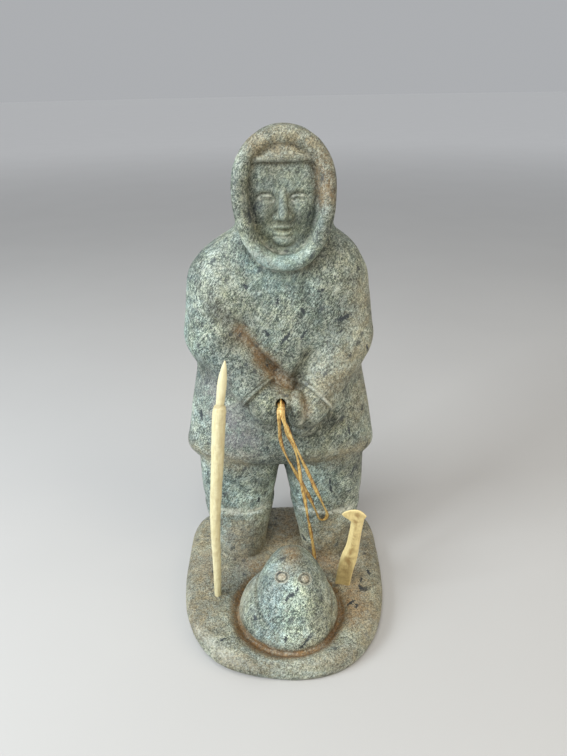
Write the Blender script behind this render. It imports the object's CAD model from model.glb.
"""Looks for a soapstone carving: a fisherman waits over a seal's breathing hole.

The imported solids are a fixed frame. The stone is carved again here, from the same forms but far finer, and
weathered. The harpoon, the snow knife and the two lengths of sinew are made again in finer meshes too.
Metres, +Z up. The figure faces -Y. The figure's own forms are drawn in millimetres from between its soles.
"""

import logging
import math
from collections.abc import Callable, Iterator
from contextlib import contextmanager
from dataclasses import dataclass, field
from enum import Enum

import bmesh
import bpy
import numpy as np
from mathutils import Matrix, Vector, noise


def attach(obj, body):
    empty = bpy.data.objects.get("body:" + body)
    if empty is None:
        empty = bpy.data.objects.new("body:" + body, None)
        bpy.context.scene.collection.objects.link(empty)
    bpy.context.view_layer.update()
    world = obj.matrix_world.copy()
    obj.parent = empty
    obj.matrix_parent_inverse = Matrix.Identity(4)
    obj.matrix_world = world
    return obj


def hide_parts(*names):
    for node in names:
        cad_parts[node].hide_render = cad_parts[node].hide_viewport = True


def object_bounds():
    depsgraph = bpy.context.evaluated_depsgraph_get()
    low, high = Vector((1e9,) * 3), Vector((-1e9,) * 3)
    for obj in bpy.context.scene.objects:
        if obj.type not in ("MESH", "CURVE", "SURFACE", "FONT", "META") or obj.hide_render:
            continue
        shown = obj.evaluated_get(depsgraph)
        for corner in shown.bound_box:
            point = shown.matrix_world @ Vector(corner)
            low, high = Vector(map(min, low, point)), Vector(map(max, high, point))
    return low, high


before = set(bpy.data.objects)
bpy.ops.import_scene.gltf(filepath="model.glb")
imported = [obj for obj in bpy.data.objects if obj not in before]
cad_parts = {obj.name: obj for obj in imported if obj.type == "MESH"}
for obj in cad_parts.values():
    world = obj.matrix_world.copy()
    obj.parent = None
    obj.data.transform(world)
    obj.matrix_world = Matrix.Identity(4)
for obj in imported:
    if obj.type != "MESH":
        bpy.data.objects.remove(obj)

log = logging.getLogger("soapstone")

MM = 0.001
BODY = "root"
CAD_BOX = [list(corner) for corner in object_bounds()]

Points = np.ndarray
Distances = np.ndarray
Form = Callable[[Points], Distances]
Place = tuple[float, float, float]
Colour = tuple[float, float, float]


def blend(first: Distances, second: Distances, width: float) -> Distances:
    """The distances to two masses that run together over a fillet of this width."""
    share = np.clip(0.5 + 0.5 * (second - first) / width, 0, 1)
    return second + (first - second) * share - width * share * (1 - share)


def carve(mass: Distances, tool: Distances, width: float) -> Distances:
    """The distances to what a tool's shape leaves of a mass, with the cut's edge eased."""
    return -blend(-mass, tool, width)


def eased(where: Points, stations: list[float], values: list[float], ease: float = 3.0) -> Distances:
    """Reads values between stations, with the corners at the stations rounded off over an ease."""
    offsets = np.linspace(-ease, ease, 5)
    return sum(np.interp(where + offset, stations, values) for offset in offsets) / len(offsets)


def ball(points: Points, centre: Place, radii: Place, turn_deg: Place = (0, 0, 0)) -> Distances:
    """Measures to an ellipsoid.

    Args:
        points: The places to measure from.
        centre: Its middle.
        radii: Its three radii.
        turn_deg: Its turns about X, then Y, then Z.

    Returns:
        The distances, negative inside.
    """
    turn = Matrix.Identity(3)
    for axis, degrees in zip("XYZ", turn_deg):
        turn = Matrix.Rotation(math.radians(degrees), 3, axis) @ turn
    local = (points - np.array(centre)) @ np.array(turn)
    radii = np.array(radii)
    near = np.linalg.norm(local / radii, axis=1)
    slope = np.linalg.norm(local / radii**2, axis=1)
    return near * (near - 1) / np.maximum(slope, 1e-9)


def limb(points: Points, start: Place, end: Place, start_radius: float, end_radius: float) -> Distances:
    """Measures to a round limb that tapers from one joint to the next.

    Args:
        points: The places to measure from.
        start: One joint.
        end: The next joint.
        start_radius: The limb's radius at the first joint.
        end_radius: Its radius at the next.

    Returns:
        The distances, negative inside.
    """
    start, along = np.array(start), np.subtract(end, start)
    share = np.clip((points - start) @ along / (along @ along), 0, 1)
    away = np.linalg.norm(points - start - share[:, None] * along, axis=1)
    return away - (start_radius + (end_radius - start_radius) * share)


def wall(across: Points, along: Points, half_width: Distances, half_depth: Distances,
         squareness: Distances) -> Distances:
    """Measures to an upright wall whose plan is a squared ellipse.

    Args:
        across: How far to the side of its middle each place is.
        along: How far behind its middle each place is.
        half_width: Half of its width.
        half_depth: Half of its depth.
        squareness: 2 for an ellipse, and more for squarer corners.

    Returns:
        The distances, negative inside.
    """
    u = np.abs(across) / half_width + 1e-6
    v = np.abs(along) / half_depth + 1e-6
    reach = (u**squareness + v**squareness) ** (1 / squareness)
    slope = reach ** (1 - squareness) * np.hypot(u ** (squareness - 1) / half_width,
                                                 v ** (squareness - 1) / half_depth)
    return (reach - 1) / slope


def layer(height: Points, low: float, high: float) -> Distances:
    """Measures to a flat layer from one height to another."""
    return np.abs(height - (low + high) / 2) - (high - low) / 2


def ring(across: Points, above: Points, out: Points, half_width: float, half_height: float,
         thickness: float) -> Distances:
    """Measures to an upright oval ring of round stock, whose radius is the thickness."""
    return np.hypot(wall(across, above, half_width, half_height, 2.0), out) - thickness


def smooth_curve(stops: tuple[tuple[float, ...], ...], spacing: float) -> Points:
    """Draws a smooth curve through stops.

    Args:
        stops: The places that it goes through.
        spacing: How far apart the curve's places are.

    Returns:
        Evenly spaced places along the curve.
    """
    stops = np.array(stops)
    ahead = np.vstack([2 * stops[0] - stops[1], stops, 2 * stops[-1] - stops[-2]])
    curve = [stops[0]]
    for before, start, end, after in zip(ahead, ahead[1:], ahead[2:], ahead[3:]):
        for share in np.linspace(0, 1, 17)[1:]:
            curve.append(0.5 * (2 * start + (end - before) * share
                                + (2 * before - 5 * start + 4 * end - after) * share**2
                                + (3 * start - before - 3 * end + after) * share**3))
    curve = np.array(curve)
    run = np.concatenate([[0], np.cumsum(np.linalg.norm(np.diff(curve, axis=0), axis=1))])
    stations = np.linspace(0, run[-1], round(run[-1] / spacing) + 1)
    return np.stack([np.interp(stations, run, axis) for axis in curve.T], axis=1)


def outline(across: Points, above: Points, corners: Points) -> Distances:
    """Measures to a flat outline.

    Args:
        across: How far to the side each place is.
        above: How high each place is.
        corners: The outline's corners, in order.

    Returns:
        The distances, negative inside.
    """
    away = np.full(len(across), np.inf)
    inside = np.zeros(len(across), dtype=bool)
    for (start_x, start_z), (end_x, end_z) in zip(corners, np.roll(corners, -1, axis=0)):
        along_x, along_z = end_x - start_x, end_z - start_z
        length = max(along_x**2 + along_z**2, 1e-12)
        share = np.clip(((across - start_x) * along_x + (above - start_z) * along_z) / length, 0, 1)
        aside = np.hypot(across - start_x - share * along_x, above - start_z - share * along_z)
        away = np.minimum(away, aside)
        if along_z:
            passed = (start_z > above) != (end_z > above)
            inside ^= passed & (across < start_x + (above - start_z) * along_x / along_z)
    return np.where(inside, -away, away)


@dataclass
class Column:
    """An upright form whose plan changes from station to station, in millimetres."""

    stations: tuple[float, ...]
    centre_x: tuple[float, ...]
    front: tuple[float, ...]
    back: tuple[float, ...]
    half_width: tuple[float, ...]
    squareness: float = 2.4
    rounding: float = 3.0

    def distance(self, points: Points) -> Distances:
        """Measures from places to the form."""
        x, y, z = points.T
        front = eased(z, self.stations, self.front)
        back = eased(z, self.stations, self.back)
        side = wall(x - eased(z, self.stations, self.centre_x), y - (front + back) / 2,
                    eased(z, self.stations, self.half_width), (back - front) / 2, self.squareness)
        return carve(side, -layer(z, self.stations[0], self.stations[-1]), self.rounding)


@dataclass
class BreathingHole:
    """The ring-shaped trench in the base, round the seal, in metres."""

    x: float = 1.9 * MM
    y: float = -19.6 * MM
    width: float = 52.2 * MM
    length: float = 52.0 * MM
    depth: float = 4 * MM
    trench_width: float = 4.4 * MM

    def distance(self, points: Points) -> Distances:
        """Measures to an upright wall along the trench's outer rim."""
        return wall(points[:, 0] - self.x, points[:, 1] - self.y, self.width / 2, self.length / 2, 2.0)


@dataclass
class Base:
    """The slab: a round front and squarer corners behind, in metres."""

    hole: BreathingHole
    width: float = 94 * MM
    depth: float = 100 * MM
    thickness: float = 8.5 * MM
    edge_radius: float = 3.0 * MM
    widest_behind_middle: float = 18 * MM
    front_squareness: float = 2.7
    back_squareness: float = 4.0
    corner_lift: float = 2.6 * MM

    def distance(self, points: Points) -> Distances:
        """Measures from places to the slab, with the trench cut round the seal."""
        x, y, z = points.T
        behind = y - self.widest_behind_middle
        half_depth = np.where(behind > 0, self.depth / 2 - self.widest_behind_middle,
                              self.depth / 2 + self.widest_behind_middle)
        squareness = np.where(behind > 0, self.back_squareness, self.front_squareness)
        rim = wall(x, behind, self.width / 2, half_depth, squareness)
        lifted = np.clip((-0.62 * x - 0.78 * y - 34 * MM) / (14 * MM), 0, 1)
        below = self.corner_lift * lifted**2 * (3 - 2 * lifted) - self.thickness / 4
        slab = carve(rim, -layer(z, below, self.thickness), 2 * self.edge_radius)
        slope = self.hole.depth / self.hole.trench_width
        floor = self.thickness + slope * np.maximum(self.hole.distance(points), -self.hole.trench_width)
        return carve(slab, (floor - z) / math.hypot(1, slope), 1.6 * MM)


@dataclass
class Seal:
    """The seal's raised head, drawn in millimetres from the middle of its hole."""

    height: float = 30.8 * MM
    drawn_height: float = 31.5
    drawn_half_width: float = 21.2
    drawn_half_length: float = 21.8
    eyes: tuple[Place, ...] = ((-2.64, -5.95, 24.74), (7.13, -6.36, 23.82))
    eye_ring: float = 1.85
    pupil_ring: float = 0.95
    head: Column = field(default_factory=lambda: Column(
        stations=(-5, 1.5, 6.5, 11.5, 16.5, 21.0, 25.0, 27.6, 29.4),
        centre_x=(1.6, 1.6, 1.6, 1.7, 1.9, 1.9, 1.6, 1.4, 1.3),
        front=(-23.4, -21.3, -19.2, -16.6, -13.6, -10.6, -7.2, -4.4, -2.0),
        back=(16.0, 15.8, 15.6, 15.2, 14.8, 14.0, 12.6, 11.2, 9.5),
        half_width=(17.6, 17.4, 17.0, 15.8, 13.6, 11.0, 8.3, 6.4, 4.8), squareness=2.3, rounding=7.0))

    def distance(self, points: Points) -> Distances:
        """Measures from places to the head and its neck, with its two ringed eyes cut in."""
        neck = ball(points, (0.1, 0.3, -3.0), (21.5, 20.8, 20.4))
        brow = self.head.distance(points)
        skin = blend(brow, neck, 0.5)
        seam = 0.5 * np.clip((points[:, 2] - 2) / 6, 0, 1)
        head = carve(skin, np.hypot(brow - neck, skin) - seam, 0.4)
        for place in self.eyes:
            away = self.from_eye(points, place)
            head = carve(head, np.hypot(away - self.eye_ring, skin) - 0.45, 0.2)
            head = carve(head, np.hypot(away - self.pupil_ring, skin) - 0.25, 0.2)
        return head

    def from_eye(self, points: Points, place: Place) -> Distances:
        """Measures from one eye's middle, evened out for the eye's width."""
        return np.linalg.norm((points - np.array(place)) * (0.82, 1, 1.1), axis=1)


@dataclass
class Fisherman:
    """The standing figure, drawn in millimetres from between its soles."""

    height: float = 193 * MM
    drawn_height: float = 193.0
    setback: float = 25 * MM
    head_x: float = 3.1
    face_x: float = 2.7
    boot_top: float = 27.5
    boot_step: float = 0.6
    sleeve_step: float = 1.3
    hairline: float = 181.5
    chin: float = 151.6
    eye_apart: float = 5.9
    eye_below_brow: float = 3.0
    lid_curve: float = 0.06
    hand_hole: Place = (0.5, -26.1, 91.6)
    hand_hole_aim: Place = (0.0, 1.0, 0.15)
    hand_hole_radius: float = 2.0
    hand_hole_depth: float = 6.0
    head: Column = field(default_factory=lambda: Column(
        stations=(146, 150, 155, 161, 167, 173, 179, 184, 187.5, 190.5),
        centre_x=(2.7,) * 10,
        front=(-7.0, -10.4, -12.2, -12.8, -13.0, -13.2, -13.0, -12.2, -11.2, -9.6),
        back=(3.0,) * 10,
        half_width=(7.4, 10.4, 13.0, 15.1, 16.4, 17.0, 16.6, 13.8, 9.6, 4.0), squareness=2.7, rounding=2.0))
    forearms: dict[int, tuple[Place, Place, Place]] = field(default_factory=lambda: {
        -1: ((-25.2, -5.0, 112.3), (-8.1, -17.0, 93.2), (0.66, -0.42, -0.65)),
        1: ((26.4, -5.0, 110.5), (14.6, -16.6, 90.4), (-0.66, -0.45, -0.607))})

    def leg(self, points: Points, side: int) -> Distances:
        """Measures to a trouser leg with its boot.

        Args:
            points: The places to measure from.
            side: -1 for the leg at -X, 1 for the other.

        Returns:
            The distances, negative inside.
        """
        form = Column(
            stations=(-4, 1, 5, 12, 24, 35, 44, 50, 62),
            centre_x=tuple(side * x for x in (20.3, 20.4, 20.7, 21.0, 20.8, 20.6, 19.8, 19.2, 19.2)),
            front=(-15.0, -15.6, -15.8, -15.4, -15.0, -14.8, -14.6, -14.2, -14.0),
            back=(13.5, 14.5, 15.0, 15.5, 16.0, 17.0, 17.6, 18.0, 18.0),
            half_width=(9.8, 11.0, 12.3, 13.6, 16.0, 17.7, 18.6, 19.2, 19.2), squareness=2.5)
        boot = np.clip((self.boot_top - points[:, 2]) / 0.5, 0, 1)
        return self.boot_step / 2 - self.boot_step * boot + form.distance(points)

    def jacket(self, points: Points) -> Distances:
        """Measures to the long parka with its rolled hem, which rises a little at the front."""
        x, y, z = points.T
        level = np.stack([x, y, z - 3.0 * np.clip(-y / 18, 0, 1)], axis=1)
        return Column(
            stations=(52.5, 56, 60, 64, 71, 81, 94, 101, 112, 127, 140, 150, 155, 158, 164),
            centre_x=(-0.3, -0.3, -0.3, -0.2, 0, 0, 0, 0, 0.2, 0.3, 0.7, 1.8, 2.6, 2.9, 3.0),
            front=(-15, -17.5, -18.8, -18.0, -18.2, -18.4, -17.6, -16.4, -15.6, -15.8, -14.8, -12.5, -10.4,
                   -9, -7),
            back=(17, 19.5, 20.5, 19.6, 19.2, 18.8, 18.4, 18.2, 18, 17.5, 16.5, 15, 13.8, 13, 12),
            half_width=(38.0, 41.3, 43.2, 42.0, 40.6, 38.9, 36.0, 35.0, 32.5, 31.4, 31.4, 28.6, 20.9,
                        16.8, 14)).distance(level)

    def sleeve(self, points: Points, side: int) -> tuple[Distances, Distances]:
        """Measures to a sleeve, bent at the elbow.

        Args:
            points: The places to measure from.
            side: -1 for the arm at -X, 1 for the other.

        Returns:
            The distances to the upper arm, and to the forearm with its wrist.
        """
        shoulder = (side * 23.0, 1, 134.2)
        elbow = (side * 27.2, -2, 114.5)
        bend, cuff, facing = self.forearms[side]
        along = np.subtract(cuff, bend) / np.linalg.norm(np.subtract(cuff, bend))
        step = self.sleeve_step
        wrist = limb(points, cuff - 4 * along, cuff + 3 * along, 8.6 - step, 8.0 - step)
        past_cuff = (points - np.array(cuff)) @ (np.array(facing) / np.linalg.norm(facing))
        upper = limb(points, shoulder, elbow, 13.6, 12.0)
        sleeve = limb(points, bend, cuff + 3 * along, 10.8, 8.4)
        sleeve = carve(sleeve, np.hypot(past_cuff + 1.5, sleeve) - 0.35, 0.3)
        return upper, blend(carve(sleeve, -past_cuff, 0.6), wrist, 0.4)

    def hands(self, points: Points) -> Distances:
        """Measures to both fists, knuckle to knuckle, with the line held between them."""
        left = blend(ball(points, (-4.6, -20.0, 88.0), (8.0, 6.4, 8.0), (0, 35, 0)),
                     limb(points, (-5.5, -19.0, 93.0), (2.0, -20.8, 91.8), 5.8, 4.6), 2.0)
        thumb = ball(points, (7.0, -20.8, 87.0), (4.3, 6.2, 8.6), (0, -4, 0))
        back = blend(ball(points, (13.2, -19.2, 86.2), (6.2, 6.4, 9.2), (0, 38, 0)),
                     ball(points, (10.2, -17.4, 78.0), (6.4, 5.6, 5.4), (0, -20, 0)), 1.0)
        return blend(blend(left, thumb, 0.7), back, 0.7)

    def creases(self, points: Points) -> Distances:
        """Measures to the deep creases between the forearms and the belly."""
        left = limb(points, (-24.0, -17.5, 127.0), (3.2, -15.2, 95.0), 0.9, 2.4)
        right = limb(points, (21.5, -18.5, 125.0), (6.4, -15.6, 96.0), 0.9, 1.8)
        return blend(left, right, 3.0)

    def hood(self, points: Points) -> Distances:
        """Measures to the hood, with its rolled edge and the opening that the face looks out of."""
        x, y, z = points.T
        skull = ball(points, (self.head_x, 0.5, 172.5), (19.2, 21.5, 20.6))
        nape = ball(points, (self.head_x, 2.0, 160.0), (18.8, 18.0, 18.0))
        mass = blend(skull, nape, 6)
        above = z - 172.5
        edge = wall(x - self.head_x, above, 15.9, np.where(above > 0, 17.8, 26.0), 2.15)
        plane = -13.2 + 0.1 * above
        roll = np.hypot(edge, y - plane) - 2.9
        mass = carve(mass, y - plane, 1)
        opening = np.maximum(edge + 2.2, y - (plane + 4.5))
        return blend(carve(mass, opening, 1.0), roll, 2.0)

    def face(self, points: Points) -> Distances:
        """Measures to a calm, plain face on even thirds: hairline to brow, brow to nose, nose to chin."""
        x, y, z = points.T
        middle = self.face_x
        third = (self.hairline - self.chin) / 3
        brow = self.hairline - third
        nostrils = brow - third
        mouth = nostrils - third / 3
        head = self.head.distance(points)
        skin = head
        for side in (-1, 1):
            eye_x = middle + side * self.eye_apart
            eye_z = brow - self.eye_below_brow
            aside, above = x - eye_x, z - eye_z
            curved = self.lid_curve * aside**2
            skin = carve(skin, ball(points, (eye_x, -15.2, eye_z + 0.3), (5.2, 4.3, 3.3)), 1.2)
            skin = blend(skin, ball(points, (eye_x, -10.3, eye_z), (3.0, 2.0, 1.7)), 0.3)
            skin = blend(skin, ring(aside, above, y + 12.1 - curved, 3.0, 1.5, 0.58), 0.25)
            skin = carve(skin, ring(aside, above, y + 12.2 - curved, 2.2, 0.8, 0.34), 0.15)
            cheek = ball(points, (middle + side * 7.4, -9.0, nostrils + 3.0), (4.2, 4.3, 4.6))
            nostril = ball(points, (middle + side * 2.1, -13.2, nostrils + 1.1), (1.5, 1.7, 1.3))
            skin = blend(blend(skin, cheek, 2.5), nostril, 0.6)
        nose = limb(points, (middle, -12.2, brow), (middle, -14.8, nostrils + 1.8), 1.3, 1.8)
        muzzle = ball(points, (middle, -8.2, mouth), (7.0, 5.2, 5.0))
        upper_lip = ball(points, (middle, -12.0, mouth + 1.2), (4.4, 2.6, 1.2))
        lower_lip = ball(points, (middle, -11.8, mouth - 1.3), (3.7, 2.7, 1.35))
        between_lips = limb(points, (middle - 4.2, -13.6, mouth), (middle + 4.2, -13.6, mouth), 0.4, 0.4)
        chin = ball(points, (middle, -10.0, self.chin + 2.6), (4.4, 4.2, 2.8))
        skin = blend(blend(skin, nose, 0.9), muzzle, 2.5)
        skin = blend(blend(skin, upper_lip, 0.4), lower_lip, 0.4)
        skin = blend(carve(skin, between_lips, 0.2), chin, 1.2)
        cap = carve(head - 1.2, z - self.hairline, 0.4)
        brim = np.hypot(head - 1.0, z - self.hairline - 1.3) - 1.0
        return blend(skin, blend(cap, brim, 0.6), 0.4)

    def drilled(self, points: Points) -> Distances:
        """Measures to the hole between the hands that the sinew comes out of."""
        aim = np.array(self.hand_hole_aim) / np.linalg.norm(self.hand_hole_aim)
        from_mouth = points - np.array(self.hand_hole)
        depth = from_mouth @ aim
        away = np.linalg.norm(from_mouth - depth[:, None] * aim, axis=1)
        return np.maximum(away - self.hand_hole_radius, np.abs(depth) - self.hand_hole_depth)

    def distance(self, points: Points) -> Distances:
        """Measures from places to the whole figure."""
        body = self.jacket(points)
        legs = blend(self.leg(points, -1), self.leg(points, 1), 4)
        sleeves = [self.sleeve(points, side) for side in (-1, 1)]
        for upper, _ in sleeves:
            body = blend(body, upper, 7)
        body = carve(body, self.creases(points), 4.0)
        body = carve(body, limb(points, (-21.0, -15.6, 124.0), (4.0, -13.6, 95.0), 1.0, 1.8), 1.5)
        soft = 1.2 + 3.4 * np.clip((np.abs(points[:, 0]) - 14) / 10, 0, 1)
        for _, fore in sleeves:
            body = blend(body, fore, soft)
        body = blend(body, self.hands(points), 0.8)
        body = carve(body, self.drilled(points), 0.5)
        body = blend(body, self.hood(points), 2.5)
        body = blend(body, self.face(points), 0.6)
        return blend(body, legs, 1.0)


class Mark(Enum):
    """What age and handling left on the stone. Each value names a mesh attribute."""

    RUST = "rust"
    DUST = "dust"
    SCUFF = "scuff"
    BRUISE = "bruise"
    COOL = "cool"
    CREAM = "cream"
    UMBER = "umber"
    CALM = "calm"
    DEEP = "deep"


@dataclass(frozen=True)
class Stain:
    """A streak of a mark between two places, in millimetres."""

    start: Place
    end: Place
    radius: float
    strength: float
    in_hollows: float = 0.0
    ground: float = 12.0
    squeeze: float = 0.45

    def spread(self, points: Points, hollow: Distances) -> Distances:
        """How much of the mark each place has. Above the ground, depth counts for less."""
        depth = self.squeeze if self.start[2] > self.ground else 1
        weights = np.array((1, depth, 1))
        away = limb(points * weights, self.start * weights, self.end * weights, 0, 0)
        kept = 1 - self.in_hollows + self.in_hollows * np.clip(1.8 * hollow, 0, 1)
        return self.strength * np.exp(-((away / self.radius) ** 2) * 1.5) * kept


STAINS = {
    Mark.RUST: (
        Stain((-15, 10, 128), (4, 11, 103), 3.2, 0.9, 0.1),
        Stain((-7, 10, 117), (4.5, 10, 102), 4.2, 1.0, 0.1),
        Stain((30, -6, 8.5), (33, -22, 8), 7.0, 0.6),
        Stain((9, 0, 104), (11, 0, 96), 3.0, 0.5, 0.3),
        Stain((17, 14, 190), (18, 12, 178), 4.5, 0.75, 0.2),
        Stain((16, 6, 8.5), (30, 2, 8.5), 7.0, 0.75, 0.1),
        Stain((29, -8, 8), (29, -28, 7), 4.0, 0.8, 0.1),
        Stain((-14, 4, 8.5), (8, 6, 8.5), 6.0, 0.6, 0.1),
        Stain((0, 20, 8.5), (4, 40, 8.5), 10.0, 0.5, 0.3),
        Stain((1, -15, 39), (5, -15, 38), 3.5, 0.8),
    ),
    Mark.UMBER: (
        Stain((-15, 10, 128.4), (0.3, 10, 108.4), 1.6, 0.8),
        Stain((0.3, 10, 108.4), (5.1, 10, 101.4), 1.4, 0.6),
        Stain((-26, 9, 143), (-15, 10, 126), 5.0, 0.35),
        Stain((-20.1, 3, 113.3), (-19.5, 3, 103.3), 1.2, 0.6),
        Stain((-19.5, 3, 103.3), (-15.8, 3, 97.7), 1.2, 0.7),
        Stain((6.8, 0, 82.7), (14.6, 0, 86.9), 1.1, 0.8),
        Stain((14.6, 0, 86.9), (20.2, 0, 93.5), 1.1, 0.5),
        Stain((-38, 6, 9), (-26, -3, 9), 7.0, 0.45),
    ),
    Mark.DUST: (
        Stain((-36, -24, 7), (-40, 30, 8), 17.0, 1.0),
        Stain((34, -26, 7), (40, 30, 8), 17.0, 1.0),
        Stain((-24, -44, 6), (28, -44, 6), 10.0, 0.7),
        Stain((0, 4, 8.5), (0, 38, 8.5), 20.0, 1.0),
        Stain((-20, 12, 12), (-20, 12, 26), 14.0, 0.8),
        Stain((22, 12, 12), (22, 12, 26), 14.0, 0.9),
        Stain((-42, 12, 68), (-18, 6, 65), 6.0, 0.8),
        Stain((42, 12, 70), (14, 6, 66), 6.0, 0.7),
        Stain((-6, 12, 196), (12, 12, 196), 6.0, 0.9),
        Stain((36, 10, 140), (38, 12, 90), 11.0, 0.5),
        Stain((3, 14, 200), (3, 14, 196), 9.0, 0.6),
        Stain((34, 8, 120), (20, 4, 106), 11.0, 0.6),
        Stain((2.7, -14, 39), (2.7, -20, 38), 8.0, 0.45),
    ),
    Mark.DEEP: (
        Stain((0, 10, 205), (0, 10, 116), 48.0, 1.0),
        Stain((30, 10, 90), (26, 10, 66), 20.0, 1.0),
        Stain((-34, 10, 130), (-34, 10, 100), 14.0, 1.0),
    ),
    Mark.CALM: (
        Stain((2.7, 12, 176), (2.7, 12, 158), 19.0, 1.0),
        Stain((-18, -22, 12), (-14, -16, 26), 8.0, 0.9),
    ),
    Mark.CREAM: (
        Stain((-20, -22, 10), (-15, -15, 24), 6.0, 0.4),
    ),
    Mark.SCUFF: (
        Stain((-34, 12, 37.5), (-6, 12, 37), 1.6, 0.9),
        Stain((8, 12, 36), (36, 12, 36.5), 1.6, 0.7),
        Stain((-40, -28, 8), (-20, -46, 8), 2.5, 0.35),
        Stain((8.1, -1, 112.5), (20.8, -1, 98.3), 1.2, 1.0),
        Stain((9.6, -3, 106.9), (11.1, -3, 101.9), 1.4, 1.0),
        Stain((11.1, -3, 101.9), (10.7, -3, 96.5), 1.4, 1.0),
        Stain((10.7, -3, 96.5), (8.3, -3, 91.8), 1.4, 1.0),
        Stain((-16, 6, 165), (2, 2, 152), 2.5, 0.5),
    ),
    Mark.BRUISE: (
        Stain((-25, 5, 98), (-18, 5, 78), 12.0, 1.0),
        Stain((-38, 8, 9), (-34, -4, 9), 7.0, 0.5),
        Stain((-22, 8, 12), (-22, 8, 24), 10.0, 0.6),
    ),
    Mark.COOL: (
        Stain((-26, 10, 50), (-20, 8, 38), 16.0, 1.0),
        Stain((14, 8, 60), (14, 10, 36), 14.0, 1.0),
        Stain((-36, 8, 130), (-36, 8, 90), 12.0, 0.7),
        Stain((0, 6, 150), (-12, 6, 158), 9.0, 0.7),
        Stain((-2, -42, 12), (0, -32, 30), 15.0, 1.0),
    ),
}


@dataclass(frozen=True)
class Fleck:
    """One dark mineral fleck in the stone's skin, in millimetres."""

    x: float
    y: float
    z: float
    length: float
    width: float
    lean_deg: float


FLECKS = (
    Fleck(26, 11, 132.5, 7.4, 2.2, 72), Fleck(3, 9, 125, 7.5, 1.6, 42), Fleck(10, 10, 126, 4.5, 1.3, 35),
    Fleck(9.7, 10, 136, 3.4, 1.8, -15), Fleck(-4.4, 9, 127, 4.5, 1.6, -35), Fleck(20, 1, 113, 4, 1.2, 60),
    Fleck(23, 2, 112, 3, 1.0, 60), Fleck(24.5, 9, 127, 4.5, 0.8, 60), Fleck(17, 8, 144, 4, 1.3, 80),
    Fleck(0, 8, 140, 4, 1.4, 20), Fleck(-12, 9, 146, 3.5, 1.6, -20), Fleck(35.4, 15, 89, 4, 1.0, 5),
    Fleck(-34, 14, 88, 5, 1.6, 0), Fleck(29.6, 11, 80.5, 5, 1.1, -10), Fleck(32.6, 14, 57, 9, 1.0, 28),
    Fleck(21.9, 11, 53.5, 4, 1.2, 5), Fleck(22.4, 11, 49, 4.5, 1.5, -10),
    Fleck(31.4, 13, 46.6, 4.5, 0.8, 80),
    Fleck(-11, 12, 42.5, 3.5, 1.3, 10), Fleck(10.2, 14, 17, 4, 2.0, -50), Fleck(36, 14, 118, 6, 1.0, -20),
    Fleck(3.4, -31, 28, 4, 1.6, 75), Fleck(5.6, -31, 29.5, 2.5, 1.2, 30), Fleck(1.4, -31, 26.5, 2.2, 1.4, 45),
    Fleck(7.2, -39, 9.5, 7.5, 1.2, 50), Fleck(9.8, -38, 12, 4, 1.8, 45),
    Fleck(-1.3, -22, 36.4, 3.2, 0.7, -50),
    Fleck(-10.2, -23, 25.3, 2, 1.1, 20), Fleck(0.5, -39, 12.7, 3, 1.3, 10),
    Fleck(-12.2, -31, 15.4, 2.2, 1.4, 45),
    Fleck(11.5, -33, 17, 2.2, 0.8, 20), Fleck(-3, -25, 35, 2.4, 0.6, 45),
)
GROUND_FLECKS = (
    Fleck(30, -18, 8.5, 5.5, 1.8, 50), Fleck(32, -20, 8.5, 3, 1.5, 20), Fleck(35, -9.5, 8.5, 4, 1.8, -30),
    Fleck(40, -0.6, 8.5, 3.5, 1.4, -20), Fleck(-26, -36, 8.5, 3.5, 0.9, 60), Fleck(36, -5, 8.5, 3, 1.2, 20),
)


class Value:
    """A shader socket that can be reckoned with: each operator adds a Math node."""

    def __init__(self, graph: "Graph", socket: bpy.types.NodeSocket) -> None:
        """Keeps the socket and the graph that it is in."""
        self.graph = graph
        self.socket = socket

    def reckon(self, operation: str, *others: "Value | float") -> "Value":
        """Adds a Math node with this value and whatever goes in after it."""
        node = self.graph.node("ShaderNodeMath", {"operation": operation}, dict(enumerate((self, *others))))
        return Value(self.graph, node.outputs[0])

    def __add__(self, other: "Value | float") -> "Value":
        """This plus another."""
        return self.reckon("ADD", other)

    __radd__ = __add__

    def __mul__(self, other: "Value | float") -> "Value":
        """This times another."""
        return self.reckon("MULTIPLY", other)

    __rmul__ = __mul__

    def __sub__(self, other: "Value | float") -> "Value":
        """This less another."""
        return self.reckon("SUBTRACT", other)

    def __rsub__(self, other: "Value | float") -> "Value":
        """Another less this."""
        return self * -1.0 + other

    def between(self, low: float, high: float) -> "Value":
        """Spreads low to high over 0 to 1, smoothly and clamped. Low may lie above high."""
        rise = self.graph.node("ShaderNodeMapRange", {"interpolation_type": "SMOOTHSTEP"},
                               {"Value": self, "From Min": low, "From Max": high})
        return Value(self.graph, rise.outputs["Result"])


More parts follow.
